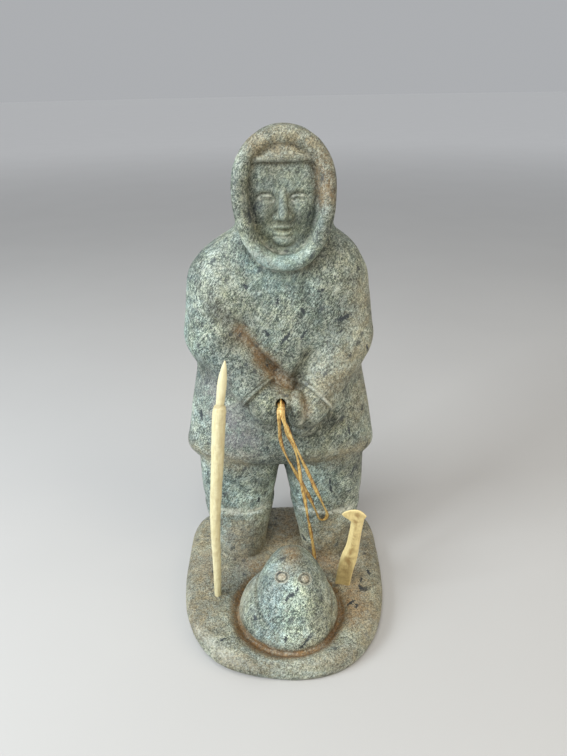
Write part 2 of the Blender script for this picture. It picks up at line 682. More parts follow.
class Graph:
    """A material's node tree."""

    def __init__(self, name: str) -> None:
        """Makes the material and finds its shader."""
        self.material = bpy.data.materials.new(name)
        self.material.use_nodes = True
        self.tree = self.material.node_tree
        self.shader = self.tree.nodes["Principled BSDF"]
        self.place = self.node("ShaderNodeTexCoord").outputs["Object"]

    def node(self, kind: str, settings: dict | None = None, inputs: dict | None = None) -> bpy.types.Node:
        """Adds a node.

        Args:
            kind: The node's type.
            settings: Its own settings, or a ramp's stops under the key "stops".
            inputs: What goes in, by socket name or number: numbers, colours, sockets or values.

        Returns:
            The node.
        """
        node = self.tree.nodes.new(kind)
        for key, setting in (settings or {}).items():
            if key == "stops":
                for element, (position, colour) in zip(self.stops(node, len(setting)), setting):
                    element.position = position
                    element.color = (*colour, 1)
            else:
                setattr(node, key, setting)
        for key, given in (inputs or {}).items():
            self.join(given, node.inputs[key])
        return node

    def stops(self, ramp: bpy.types.Node, count: int) -> list:
        """A ramp's stops, as many as are asked for."""
        elements = ramp.color_ramp.elements
        while len(elements) < count:
            elements.new(1.0)
        return list(elements)

    def join(self, given: object, socket: bpy.types.NodeSocket) -> None:
        """Links a socket or a value to an input, or sets a number or a colour on it."""
        if isinstance(given, Value):
            given = given.socket
        if isinstance(given, bpy.types.NodeSocket):
            self.tree.links.new(given, socket)
        elif isinstance(given, tuple) and len(given) == 3 and socket.type == "RGBA":
            socket.default_value = (*given, 1)
        else:
            socket.default_value = given

    def turned(self, turn_deg: Place, stretch: Place) -> bpy.types.NodeSocket:
        """The object's own places, turned, and then made finer by the stretch along each axis."""
        turned = self.node("ShaderNodeMapping", {"vector_type": "TEXTURE"},
                           {"Vector": self.place, "Rotation": tuple(math.radians(d) for d in turn_deg)})
        return self.node("ShaderNodeVectorMath", {"operation": "MULTIPLY"},
                         {0: turned.outputs[0], 1: stretch}).outputs[0]

    def clouds(self, scale: float, detail: float = 3.0, roughness: float = 0.55,
               place: bpy.types.NodeSocket | None = None, drift: float = 0.0) -> Value:
        """A noise.

        Args:
            scale: How many waves go into a metre.
            detail: How many finer octaves there are.
            roughness: How strong the finer octaves are.
            place: The places to read it at, if not the object's own.
            drift: How far it is twisted.

        Returns:
            The noise, about 0 to 1.
        """
        made = self.node("ShaderNodeTexNoise", None, {
            "Vector": place or self.place, "Scale": scale, "Detail": detail, "Roughness": roughness,
            "Distortion": drift})
        return Value(self, made.outputs["Fac"])

    def flecks(self, scale: float, size: float, share: float, place: bpy.types.NodeSocket) -> Value:
        """Scattered flecks.

        Args:
            scale: How many cells go into a metre.
            size: How much of its cell a fleck fills.
            share: How many of the cells have one.
            place: The places to read them at.

        Returns:
            1 in a fleck and 0 outside.
        """
        cells = self.node("ShaderNodeTexVoronoi", None, {"Vector": place, "Scale": scale, "Randomness": 1.0})
        colour = self.node("ShaderNodeSeparateColor", None, {0: cells.outputs["Color"]})
        chosen = Value(self, colour.outputs[0]).between(1 - share, 1 - share + 0.02)
        near = Value(self, cells.outputs["Distance"]) + (self.clouds(9 * scale, 3, 0.7) - 0.5) * 0.7
        return near.between(size, size - 0.08) * chosen

    def placed(self, fleck: Fleck, on_ground: bool) -> Value:
        """Measures to one fleck.

        Args:
            fleck: The fleck.
            on_ground: Whether it lies on a level face, so that it runs along Y and not up.

        Returns:
            About 1 along the fleck's edge, and less inside.
        """
        lean = math.radians(fleck.lean_deg)
        half_width, half_length, deep = fleck.width / 2 * MM, fleck.length / 2 * MM, 4 * MM
        local = self.node("ShaderNodeMapping", {"vector_type": "TEXTURE"}, {
            "Vector": self.place, "Location": (fleck.x * MM, fleck.y * MM, fleck.z * MM),
            "Rotation": (0, 0, -lean) if on_ground else (0, lean, 0),
            "Scale": (half_width, half_length, deep) if on_ground else (half_width, deep, half_length)})
        return Value(self, self.node("ShaderNodeVectorMath", {"operation": "LENGTH"},
                                     {0: local.outputs[0]}).outputs["Value"])

    def mark(self, mark: Mark) -> Value:
        """A mark's own mesh attribute."""
        return Value(self, self.node("ShaderNodeAttribute", {"attribute_name": mark.value}).outputs["Fac"])

    def attribute(self, name: str) -> Value:
        """A mesh attribute by name."""
        return Value(self, self.node("ShaderNodeAttribute", {"attribute_name": name}).outputs["Fac"])

    def mix(self, share: Value | float, first: object, second: object,
            way: str = "MIX") -> bpy.types.NodeSocket:
        """Mixes a share of the second colour into the first, by the Mix node's blend type."""
        node = self.node("ShaderNodeMix", {"data_type": "RGBA", "blend_type": way, "clamp_factor": True},
                         {0: share, 6: first, 7: second})
        return node.outputs[2]

    def ramp(self, value: Value, stops: list[tuple[float, Colour]]) -> bpy.types.NodeSocket:
        """A colour that runs through stops as a value rises."""
        return self.node("ShaderNodeValToRGB", {"stops": stops}, {0: value}).outputs[0]

    def bump(self, height: Value, depth: float, strength: float = 1.0) -> bpy.types.NodeSocket:
        """A normal with a fine relief on it, whose height of 0 to 1 is this deep in metres."""
        node = self.node("ShaderNodeBump", None, {"Strength": strength, "Distance": depth, "Height": height})
        return node.outputs[0]


@dataclass(frozen=True)
class Soapstone:
    """Grey green stone with fine light and dark grain, charcoal flecks, rusty hollows and pale scuffs."""

    deep: Colour = (0.030, 0.040, 0.038)
    green: Colour = (0.120, 0.152, 0.125)
    light: Colour = (0.265, 0.315, 0.258)
    frost: Colour = (0.600, 0.640, 0.550)
    blue: Colour = (1.05, 1.22, 1.36)
    olive: Colour = (0.99, 0.94, 0.80)
    deeper: Colour = (0.74, 0.75, 0.73)
    grime: Colour = (0.42, 0.36, 0.28)
    umber: Colour = (0.085, 0.050, 0.025)
    charcoal: Colour = (0.018, 0.026, 0.034)
    rust: Colour = (0.150, 0.078, 0.026)
    rust_light: Colour = (0.400, 0.240, 0.092)
    dust: Colour = (0.520, 0.455, 0.300)
    dust_dark: Colour = (0.120, 0.100, 0.062)
    scuff: Colour = (0.640, 0.660, 0.570)
    bruise: Colour = (0.085, 0.080, 0.098)
    bruise_light: Colour = (0.300, 0.300, 0.310)

    def tone(self, graph: Graph) -> tuple[Value, Value, Value]:
        """Makes the grain.

        Args:
            graph: The material's graph.

        Returns:
            The whole grain, its slanted part and its scratches, each about 0 to 1.
        """
        slant = graph.turned((0, 33, 0), (1.0, 1.0, 0.55))
        rasped = graph.turned((0, 36, 0), (1.0, 1.0, 0.07))
        grain = graph.clouds(1500, 2, 0.7, slant)
        scratches = graph.clouds(2600, 2, 0.6, rasped)
        speckle = graph.clouds(3000, 2, 0.7)
        mottle = graph.clouds(420, 3, 0.6, slant, drift=0.4)
        blotch = graph.clouds(120, 3, 0.6, drift=0.6)
        whole = grain * 0.3 + speckle * 0.34 + scratches * 0.14 + mottle * 0.12 + blotch * 0.1
        whole = 0.5 + (whole - 0.5) * (1.0 - graph.mark(Mark.CALM) * 0.55)
        return whole, grain, scratches

    def stains(self, graph: Graph, colour: bpy.types.NodeSocket) -> bpy.types.NodeSocket:
        """Lays the bruises, the dust and the rust over the stone's own colour.

        Args:
            graph: The material's graph.
            colour: The stone's own colour.

        Returns:
            The stained colour.
        """
        grit = graph.clouds(1500, 3, 0.75).between(0.38, 0.62)
        bruise = graph.mark(Mark.BRUISE) * graph.clouds(130, 3, 0.6).between(0.36, 0.56)
        colour = graph.mix(bruise * 0.8, colour, graph.mix(grit, self.bruise, self.bruise_light))
        dusty = graph.mark(Mark.DUST) * (0.5 + graph.clouds(260, 4, 0.65).between(0.34, 0.62) * 0.5)
        clouded = graph.clouds(95, 4, 0.65, drift=0.6).between(0.4, 0.6)
        mottled = graph.mix(clouded, (0.68, 0.64, 0.58), (1.1, 1.1, 1.1))
        dust = graph.mix(1.0, graph.mix(grit, self.dust_dark, self.dust), mottled, "MULTIPLY")
        colour = graph.mix(dusty * 0.9, colour, dust)
        rust = graph.mark(Mark.RUST) * graph.clouds(380, 4, 0.7).between(0.22, 0.56)
        colour = graph.mix(rust * 0.92, colour, graph.mix(grit, self.rust, self.rust_light))
        return graph.mix(graph.mark(Mark.UMBER) * (0.5 + grit * 0.3), colour, self.umber)

    def threads(self, graph: Graph, colour: bpy.types.NodeSocket) -> bpy.types.NodeSocket:
        """Lays fine, pale and dark threads over the stone, as its fibres and the rasp leave them.

        Args:
            graph: The material's graph.
            colour: The colour under them.

        Returns:
            The colour with the threads on it.
        """
        shown = 1.0 - graph.mark(Mark.CALM) * 0.5
        for scale, lean, finish, share in ((800, 40, self.deep, 0.5), (620, 30, self.frost, 0.42)):
            along = graph.turned((0, lean, 0), (1.0, 1.0, 0.4))
            wave = graph.clouds(scale, 2, 0.6, along, drift=1.2) - 0.5
            line = wave.reckon("ABSOLUTE").between(0.045, 0.005)
            broken = graph.clouds(420, 2, 0.6).between(0.44, 0.56)
            colour = graph.mix(line * broken * shown * share, colour, finish)
        return colour

    def charred(self, graph: Graph, colour: bpy.types.NodeSocket) -> bpy.types.NodeSocket:
        """Lays the charcoal flecks in: the scattered ones, and those that have places of their own.

        Args:
            graph: The material's graph.
            colour: The colour under them.

        Returns:
            The colour with the flecks in it.
        """
        large = graph.flecks(95, 0.2, 0.12, graph.turned((0, 40, 12), (1.0, 1.0, 0.34)))
        small = graph.flecks(250, 0.25, 0.24, graph.turned((10, 35, 0), (1.0, 1.0, 0.4)))
        nearest = graph.placed(FLECKS[0], False)
        for fleck in FLECKS[1:]:
            nearest = nearest.reckon("MINIMUM", graph.placed(fleck, False))
        for fleck in GROUND_FLECKS:
            nearest = nearest.reckon("MINIMUM", graph.placed(fleck, True))
        ragged = nearest + (graph.clouds(1500, 3, 0.75) - 0.5) * 3.4
        charred = ragged.between(1.1, 0.75)
        colour = graph.mix(large * 0.8, colour, self.charcoal)
        colour = graph.mix(small * 0.7, colour, self.charcoal)
        return graph.mix(charred * 0.93, colour, self.charcoal)

    def dress(self) -> bpy.types.Material:
        """Makes the material."""
        graph = Graph("grey green soapstone")
        tone, grain, scratches = self.tone(graph)
        stops = [(0.445, self.deep), (0.486, self.green), (0.518, self.light), (0.572, self.frost)]
        colour = graph.ramp(tone, stops)
        patch = graph.clouds(34, 4, 0.55, drift=0.4)
        tint = graph.clouds(260, 3, 0.65).between(0.4, 0.6)
        tinted = graph.mix(tint, (0.98, 1.0, 1.04), (1.03, 1.0, 0.93))
        colour = graph.mix(1.0, colour, tinted, "MULTIPLY")
        colour = graph.mix(patch.between(0.5, 0.68) * 0.8, colour, self.olive, "MULTIPLY")
        bluish = (graph.mark(Mark.COOL) + patch.between(0.5, 0.34) * 0.5).reckon("MINIMUM", 1.0)
        colour = graph.mix(bluish * 0.95, colour, self.blue, "MULTIPLY")
        shade = graph.clouds(70, 3, 0.6, drift=0.5) * 0.6 + graph.clouds(24, 2, 0.5) * 0.4
        shading = graph.mix(shade.between(0.36, 0.64), (0.55, 0.55, 0.55), (1.3, 1.3, 1.3))
        colour = graph.mix(1.0, colour, shading, "MULTIPLY")
        deep = graph.mark(Mark.DEEP) - graph.mark(Mark.CALM) * 0.7
        colour = graph.mix(deep, colour, self.deeper, "MULTIPLY")
        colour = self.charred(graph, self.threads(graph, self.stains(graph, colour)))
        hollow = graph.attribute("hollow")
        colour = graph.mix(hollow * 0.6, colour, self.grime, "MULTIPLY")
        worn = graph.mark(Mark.SCUFF) * graph.clouds(700, 3, 0.7).between(0.35, 0.6)
        worn = worn + graph.attribute("ridge") * graph.clouds(500, 3, 0.6).between(0.4, 0.7) * 0.4
        colour = graph.mix(worn.reckon("MINIMUM", 1.0), colour, self.scuff)
        cream = graph.mix(tone.between(0.45, 0.55), (0.30, 0.25, 0.17), (0.56, 0.51, 0.39))
        colour = graph.mix((graph.mark(Mark.CREAM) - graph.mark(Mark.UMBER)) * 0.75, colour, cream)
        graph.join(colour, graph.shader.inputs["Base Color"])
        graph.join(0.5 + tone * 0.2 + hollow * 0.2, graph.shader.inputs["Roughness"])
        relief = grain * 0.5 + scratches * 0.6 + tone * 0.5
        graph.join(graph.bump(relief, 0.2 * MM, 0.7), graph.shader.inputs["Normal"])
        return graph.material


@dataclass(frozen=True)
class Antler:
    """Scraped antler: ivory, with finer streaks along it, a browner core and pale, worn edges."""

    name: str
    pale: Colour
    mellow: Colour
    core: Colour
    browned: float
    streaked: float
    lean_deg: float

    def dress(self) -> bpy.types.Material:
        """Makes the material."""
        graph = Graph(self.name)
        along = graph.turned((0, self.lean_deg, 0), (1.0, 1.0, 0.09))
        streaks = graph.clouds(1500, 3, 0.6, along)
        pores = graph.clouds(1400, 3, 0.65)
        patches = graph.clouds(260, 4, 0.65, drift=0.5)
        colour = graph.mix(0.5 + (streaks - 0.5) * self.streaked, self.pale, self.mellow)
        colour = graph.mix(patches.between(0.4, 0.7) * self.browned, colour, self.core)
        colour = graph.mix(pores.between(0.62, 0.78) * 0.5, colour, self.core)
        spongy = graph.attribute("core") * patches.between(0.3, 0.62)
        colour = graph.mix(spongy * 0.8, colour, self.core)
        colour = graph.mix(graph.attribute("ridge") * 0.8, colour, self.pale)
        graph.join(colour, graph.shader.inputs["Base Color"])
        graph.join(0.36 + pores * 0.22, graph.shader.inputs["Roughness"])
        graph.join(graph.bump(streaks * 0.7 + pores * 0.4, 0.1 * MM, 0.6), graph.shader.inputs["Normal"])
        return graph.material


IVORY = Antler("ivory antler", (0.74, 0.70, 0.46), (0.56, 0.49, 0.26), (0.30, 0.22, 0.09), 0.3, 1.6, 5.0)
YELLOW = Antler("yellow antler", (0.76, 0.63, 0.31), (0.43, 0.315, 0.12), (0.24, 0.14, 0.045), 0.45, 1.1, 8.0)


@dataclass(frozen=True)
class SinewFinish:
    """Dried, waxed sinew: amber, with paler and darker fibres along it."""

    pale: Colour = (0.72, 0.54, 0.20)
    amber: Colour = (0.46, 0.25, 0.055)
    dark: Colour = (0.20, 0.085, 0.02)

    def dress(self) -> bpy.types.Material:
        """Makes the material."""
        graph = Graph("amber sinew")
        fibres = graph.clouds(2200, 3, 0.65, graph.turned((0, 22, 0), (1.0, 1.0, 0.06)))
        knots = graph.clouds(160, 3, 0.6)
        edge = graph.attribute("edge").reckon("ABSOLUTE").between(0.35, 0.95)
        colour = graph.ramp(fibres * 0.7 + knots * 0.3 - edge * 0.13 + 0.03,
                            [(0.38, self.dark), (0.47, self.amber), (0.57, self.pale)])
        graph.join(colour, graph.shader.inputs["Base Color"])
        graph.join(0.24 + fibres * 0.3, graph.shader.inputs["Roughness"])
        graph.shader.inputs["Coat Weight"].default_value = 0.25
        graph.join(graph.bump(fibres, 0.12 * MM, 0.8), graph.shader.inputs["Normal"])
        return graph.material


@dataclass(frozen=True)
class FloorPaint:
    """Pale, matt floor paint, which meets the room's light far behind the carving."""

    colour: Colour = (0.50, 0.498, 0.49)
    far: Colour = (0.210, 0.215, 0.223)

    def dress(self) -> bpy.types.Material:
        """Makes the material."""
        graph = Graph("pale floor")
        shade = graph.clouds(9, 3, 0.5).between(0.2, 0.8)
        darker = tuple(0.97 * part for part in self.colour)
        away = Value(graph, graph.node("ShaderNodeVectorMath", {"operation": "LENGTH"},
                                       {0: graph.place}).outputs["Value"])
        graph.join(graph.mix(shade, self.colour, darker), graph.shader.inputs["Base Color"])
        graph.join(graph.mix(away.between(0.3, 2.5), (0.0, 0.0, 0.0), self.far),
                   graph.shader.inputs["Emission Color"])
        graph.shader.inputs["Emission Strength"].default_value = 1.0
        graph.shader.inputs["Roughness"].default_value = 0.85
        return graph.material


def put_in_scene(name: str, data: bpy.types.ID) -> bpy.types.Object:
    """Makes an object and links it to the scene."""
    made = bpy.data.objects.new(name, data)
    bpy.context.collection.objects.link(made)
    return made


def baked(carrier: bpy.types.Object) -> bpy.types.Mesh:
    """The mesh that an object comes to. The object is removed."""
    bpy.context.view_layer.update()
    made = bpy.data.meshes.new_from_object(carrier.evaluated_get(bpy.context.evaluated_depsgraph_get()))
    bpy.data.objects.remove(carrier)
    return made


@contextmanager
def edited(mesh: bpy.types.Mesh) -> Iterator[bmesh.types.BMesh]:
    """Opens a mesh for the bmesh operators and writes it back afterwards."""
    shape = bmesh.new()
    shape.from_mesh(mesh)
    yield shape
    shape.to_mesh(mesh)
    shape.free()


def add_piece(name: str, mesh: bpy.types.Mesh, finish: bpy.types.Material,
              node: str | None) -> bpy.types.Object:
    """Puts a finished mesh in the scene and ties it to the frame.

    Args:
        name: The piece's name.
        mesh: Its mesh, in place.
        finish: Its material.
        node: The CAD node that it stands for, if it stands for one.

    Returns:
        The piece.
    """
    mesh.materials.clear()
    mesh.materials.append(finish)
    mesh.shade_smooth()
    piece = put_in_scene(name, mesh)
    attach(piece, BODY)
    if node:
        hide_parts(node)
    return piece


def modified(mesh: bpy.types.Mesh, kind: str, **settings: object) -> bpy.types.Mesh:
    """Puts a mesh through one modifier.

    Args:
        mesh: The mesh to start from, which is removed.
        kind: The modifier's type.
        settings: The modifier's settings.

    Returns:
        The new mesh.
    """
    carrier = put_in_scene("carrier", mesh)
    modifier = carrier.modifiers.new("step", kind)
    for key, setting in settings.items():
        setattr(modifier, key, setting)
    made = baked(carrier)
    bpy.data.meshes.remove(mesh)
    return made


def settle(mesh: bpy.types.Mesh, distance: Form, rounds: int, reach: float) -> None:
    """Moves a mesh's points onto a form, and evens them out there.

    Args:
        mesh: The mesh, changed in place.
        distance: What measures from places to the form, in metres.
        rounds: How many times the points are moved.
        reach: How far a point may move at a time.
    """
    points = read_points(mesh)
    web = Web(mesh)
    for turn in range(rounds):
        away = distance(points)
        slope = slope_of(distance, points, away)
        steepness = np.maximum(np.linalg.norm(slope, axis=1), 0.2)[:, None]
        out = slope / steepness
        points -= np.clip(away[:, None] / steepness, -reach, reach) * out
        if turn < rounds - 2:
            pull = web.mean(points) - points
            points += 0.5 * (pull - (pull * out).sum(axis=1)[:, None] * out)
    write_points(mesh, points)


@dataclass
class StoneCarving:
    """The fisherman, the seal and the base, all one stone."""

    voxel: float = 1.1 * MM
    rounds: int = 6
    triangles: int = 196_000
    unevenness: float = 0.16 * MM
    plug: Place = (9 * MM, 6 * MM, 5 * MM)
    plug_middle_down: float = 2.6 * MM
    seal_fillet: float = 0.8 * MM
    figure_fillet: float = 0.9 * MM
    hollow_probes: tuple[float, ...] = (1.2 * MM, 5 * MM, 0.5 * MM)
    edge_probe: float = 1.0 * MM
    hole: BreathingHole = field(default_factory=BreathingHole)
    seal: Seal = field(default_factory=Seal)
    figure: Fisherman = field(default_factory=Fisherman)
    sockets: tuple[tuple[float, float], ...] = ((-29.7, -12.2), (27.2, -6.4), (15.2, 7.6))
    close_work: tuple[tuple[Place, Place], ...] = (
        ((-17, 4, 152), (23, 18, 204)), ((-26, -10, 76), (30, 10, 122)), ((-24, -44, 3), (28, 4, 39)),
        ((-45, 5, 33.5), (45, 46, 38.5)))
    closest_work: tuple[tuple[Place, Place], ...] = (
        ((-7, 8, 159), (12.5, 16, 184)), ((-4.5, -30, 29), (2.5, -21, 37)), ((5.5, -30, 28), (12.5, -21, 36)))

    def __post_init__(self) -> None:
        """Sets the base round its hole."""
        self.base = Base(self.hole)

    def distance(self, points: Points) -> Distances:
        """Measures from places to the whole carving, in metres."""
        figure_scale = self.figure.height / self.figure.drawn_height
        soles = np.array((0, self.figure.setback, self.base.thickness))
        figure = self.figure.distance((points - soles) / figure_scale) * figure_scale
        scale = self.seal_scale()
        head = self.seal.distance((points - self.seal_middle()) / scale) * scale.min()
        ground = blend(self.base.distance(points), head, self.seal_fillet)
        return blend(ground, figure, self.figure_fillet)

    def seal_scale(self) -> Points:
        """How large each of the seal's drawn millimetres is, in metres."""
        return np.array(((self.hole.width / 2 - self.hole.trench_width) / self.seal.drawn_half_width,
                         (self.hole.length / 2 - self.hole.trench_width) / self.seal.drawn_half_length,
                         self.seal.height / self.seal.drawn_height))

    def seal_middle(self) -> Points:
        """The middle of the seal's hole, level with the base's top."""
        return np.array((self.hole.x, self.hole.y, self.base.thickness))

    def blank(self) -> bpy.types.Mesh:
        """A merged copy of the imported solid, with its sockets plugged so that the stone closes there."""
        mesh = bpy.data.meshes.new("blank")
        size = Matrix.Diagonal((*self.plug, 1))
        with edited(mesh) as shape:
            shape.from_mesh(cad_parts["stone_carving"].data)
            bmesh.ops.remove_doubles(shape, verts=shape.verts, dist=1e-6)
            for x, y in self.sockets:
                place = Matrix.Translation((x * MM, y * MM, self.base.thickness - self.plug_middle_down))
                bmesh.ops.create_cube(shape, size=1, matrix=place @ size)
        return mesh

    def finer(self, mesh: bpy.types.Mesh, boxes: tuple[tuple[Place, Place], ...]) -> None:
        """Halves the mesh's squares where the work is close.

        Args:
            mesh: The mesh, changed in place.
            boxes: The low and high corners of each box to do it in, in millimetres.
        """
        points = read_points(mesh) / MM
        close = np.zeros(len(points), dtype=bool)
        for low, high in boxes:
            close |= ((points > np.array(low)) & (points < np.array(high))).all(axis=1)
        with edited(mesh) as shape:
            edges = [edge for edge in shape.edges if all(close[end.index] for end in edge.verts)]
            bmesh.ops.subdivide_edges(shape, edges=edges, cuts=1, use_grid_fill=True)

    def cut_flat(self, mesh: bpy.types.Mesh) -> None:
        """Cuts the underside off flat at the height of what the carving stands on."""
        with edited(mesh) as body:
            bmesh.ops.bisect_plane(body, geom=body.verts[:] + body.edges[:] + body.faces[:],
                                   plane_co=(0, 0, 0), plane_no=(0, 0, 1), clear_inner=True)
            bmesh.ops.contextual_create(body, geom=[edge for edge in body.edges if edge.is_boundary])
            bmesh.ops.recalc_face_normals(body, faces=body.faces)
            bmesh.ops.triangulate(body, faces=body.faces)

    def hand_worked(self, mesh: bpy.types.Mesh) -> None:
        """Leaves the surface a little uneven, as files and rasps do."""
        points = read_points(mesh)
        normals = read_normals(mesh)
        shift = Vector((7, 3, 1))
        broad = np.array([noise.noise(Vector(point) * 140) for point in points])
        narrow = np.array([noise.noise(Vector(point) * 420 + shift) for point in points])
        swell = broad + 0.45 * narrow
        free = np.clip(points[:, 2] / (2 * MM), 0, 1)
        points += normals * (swell * self.unevenness * free)[:, None]
        write_points(mesh, np.clip(points, *CAD_BOX))

    def weather(self, mesh: bpy.types.Mesh) -> None:
        """Writes the hollows, the ridges and the marks of age into the mesh's attributes."""
        points = read_points(mesh)
        normals = read_normals(mesh)
        near, wide, fine = (np.clip(1 - self.distance(points + normals * probe) / probe, 0, 1)
                            for probe in self.hollow_probes)
        edge = np.clip(1 + self.distance(points - normals * self.edge_probe) / self.edge_probe, 0, 1)
        hollow = np.clip(near * 1.3 + wide * 0.6 + fine * 0.9, 0, 1)
        marks = {mark: np.zeros(len(points)) for mark in Mark}
        drawn = points / MM
        for mark, stains in STAINS.items():
            for stain in stains:
                marks[mark] = np.maximum(marks[mark], stain.spread(drawn, hollow))
        height = drawn[:, 2]
        trench = np.clip(1 - self.hole.distance(points) / (1.5 * MM), 0, 1)
        trench *= np.clip((8.4 - height) / 1.6, 0, 1)
        marks[Mark.RUST] = np.maximum(marks[Mark.RUST], trench * np.where(height > 3, 1, 0))
        for place in self.seal.eyes:
            away = self.seal.from_eye((points - self.seal_middle()) / self.seal_scale(), place)
            rim = 0.6 * np.exp(-(((away - 2.4) / 0.3) ** 2)) + np.clip((1.7 - away) / 0.3, 0, 1)
            marks[Mark.CREAM] = np.maximum(marks[Mark.CREAM], rim)
            cuts = (self.seal.eye_ring, 0.85, 0.3), (self.seal.pupil_ring, 0.35, 0.22)
            for radius, strength, width in cuts:
                cut = strength * np.exp(-(((away - radius) / width) ** 2))
                marks[Mark.UMBER] = np.maximum(marks[Mark.UMBER], cut)
        write_attribute(mesh, "hollow", hollow)
        write_attribute(mesh, "ridge", np.clip(edge * 2.5 - 0.3, 0, 1))
        for mark, values in marks.items():
            write_attribute(mesh, mark.value, values)

    def build(self) -> bpy.types.Object:
        """Makes the finished piece."""
        mesh = modified(self.blank(), "REMESH", mode="VOXEL", voxel_size=self.voxel)
        settle(mesh, self.distance, self.rounds, 2 * self.voxel)
        self.finer(mesh, self.close_work)
        settle(mesh, self.distance, self.rounds, self.voxel)
        self.finer(mesh, self.closest_work)
        settle(mesh, self.distance, self.rounds, self.voxel / 2)
        self.cut_flat(mesh)
        self.hand_worked(mesh)
        count = sum(len(face.vertices) - 2 for face in mesh.polygons)
        log.info("soapstone as carved: %d triangles", count)
        if count > self.triangles:
            mesh = modified(mesh, "DECIMATE", ratio=self.triangles / count)
        mesh.name = "soapstone_carving"
        self.weather(mesh)
        return add_piece("soapstone_carving", mesh, Soapstone().dress(), "stone_carving")


class Web:
    """Which of a mesh's points are joined by an edge."""

    def __init__(self, mesh: bpy.types.Mesh) -> None:
        """Reads the mesh's edges."""
        ends = np.empty(len(mesh.edges) * 2, dtype=np.int64)
        mesh.edges.foreach_get("vertices", ends)
        self.count = len(mesh.vertices)
        self.first, self.second = ends.reshape(-1, 2).T
        self.neighbours = np.maximum(np.bincount(ends, minlength=self.count), 1)

    def mean(self, points: Points) -> Points:
        """The middle of each point's neighbours."""
        sums = [np.bincount(self.first, axis[self.second], self.count)
                + np.bincount(self.second, axis[self.first], self.count) for axis in points.T]
        return np.stack(sums, axis=1) / self.neighbours[:, None]


def read_points(mesh: bpy.types.Mesh) -> Points:
    """A mesh's points, one a row."""
    points = np.empty(len(mesh.vertices) * 3)
    mesh.vertices.foreach_get("co", points)
    return points.reshape(-1, 3)


def read_normals(mesh: bpy.types.Mesh) -> Points:
    """The way out of a mesh at each of its points."""
    normals = np.empty(len(mesh.vertices) * 3, dtype=np.float32)
    mesh.vertex_normals.foreach_get("vector", normals)
    return normals.reshape(-1, 3).astype(float)


def write_points(mesh: bpy.types.Mesh, points: Points) -> None:
    """Moves a mesh's points."""
    mesh.vertices.foreach_set("co", points.ravel())
    mesh.update()


def write_attribute(mesh: bpy.types.Mesh, name: str, values: Distances) -> None:
    """Writes one number a point into a mesh."""
    mesh.attributes.new(name, "FLOAT", "POINT").data.foreach_set("value", values.astype(np.float32))


def slope_of(distance: Form, points: Points, away: Distances, probe: float = 0.04 * MM) -> Points:
    """The way in which a form's distance grows at each place, seen by moving it by a probe."""
    return np.stack([(distance(points + step) - away) / probe for step in np.eye(3) * probe], axis=1)


@dataclass
class Harpoon:
    """The harpoon: a bowed antler shaft with a shoulder, and a leaf-shaped point."""

    length: float = 119 * MM
    diameter: float = 5.4 * MM
    socket_depth: float = 4 * MM
    foot: tuple[float, float] = (-29.7 * MM, -12.2 * MM)
    lean_right_deg: float = 4.9
    lean_back_deg: float = 3.0
    bow: float = 2.4 * MM
    sides: int = 40
    rings: int = 170
    whittled: float = 0.07 * MM
    shares: tuple[float, ...] = (0, 0.01, 0.035, 0.12, 0.2, 0.3, 0.37, 0.455, 0.58, 0.7, 0.82, 0.838, 0.846,
                                 0.883, 0.91, 0.95, 0.98, 1)
    widths: tuple[float, ...] = (0.3, 0.46, 0.54, 0.62, 0.67, 0.74, 0.79, 0.86, 0.93, 0.98, 1.0, 0.86, 0.59,
                                 0.64, 0.7, 0.56, 0.33, 0.1)
    depths: tuple[float, ...] = (0.3, 0.46, 0.54, 0.62, 0.67, 0.74, 0.79, 0.86, 0.93, 0.98, 1.0, 0.86, 0.55,
                                 0.54, 0.52, 0.4, 0.24, 0.1)
    bows: tuple[float, ...] = (0, 0.04, 0.12, 0.28, 0.48, 0.78, 0.92, 0.96, 0.84, 0.78, 0.72, 0.66, 0.58, 0.5,
                               0.4, 0.27, 0.1, 0)

    def build(self, base_top: float) -> bpy.types.Object:
        """Makes the finished piece.

        Args:
            base_top: The height of the base's upper side.

        Returns:
            The piece.
        """
        mesh = bpy.data.meshes.new("antler_harpoon")
        levels = np.unique(np.concatenate([np.linspace(0, 1, self.rings), np.array(self.shares)]))
        with edited(mesh) as shape:
            bmesh.ops.create_circle(shape, cap_ends=True, segments=self.sides, radius=1)
            end = shape.faces[:]
            for share, next_share in zip(levels, levels[1:]):
                grown = bmesh.ops.extrude_face_region(shape, geom=end + list(end[0].edges))
                corners = [item for item in grown["geom"] if isinstance(item, bmesh.types.BMVert)]
                end = [item for item in grown["geom"] if isinstance(item, bmesh.types.BMFace)]
                bmesh.ops.translate(shape, verts=corners, vec=(0, 0, next_share - share))
            bmesh.ops.recalc_face_normals(shape, faces=shape.faces)
        across, along, share = read_points(mesh).T
        radius = self.diameter / 2
        wander = np.array([noise.noise(Vector((2.5 * x, 2.5 * y, z * 55)))
                           for x, y, z in zip(across, along, share)])
        swell = 1 + 2 * self.whittled / radius * wander
        bow = self.bow * eased(share, self.shares, self.bows, 0.02)
        write_points(mesh, np.stack([
            across * np.interp(share, self.shares, self.widths) * radius * swell - bow,
            along * np.interp(share, self.shares, self.depths) * radius * swell,
            share * self.length], axis=1))
        write_attribute(mesh, "core", np.exp(-(((share - 0.843) / 0.004) ** 2)))
        write_attribute(mesh, "ridge", np.clip((share - 0.85) * 12, 0, 0.6))
        up = Vector((math.tan(math.radians(self.lean_right_deg)),
                     math.tan(math.radians(self.lean_back_deg)), 1)).normalized()
        place = Vector((*self.foot, base_top)) - up * self.socket_depth
        leant = Vector((0, 0, 1)).rotation_difference(up).to_matrix().to_4x4()
        mesh.transform(Matrix.Translation(place) @ leant)
        return add_piece("antler_harpoon", mesh, IVORY.dress(), "harpoon")


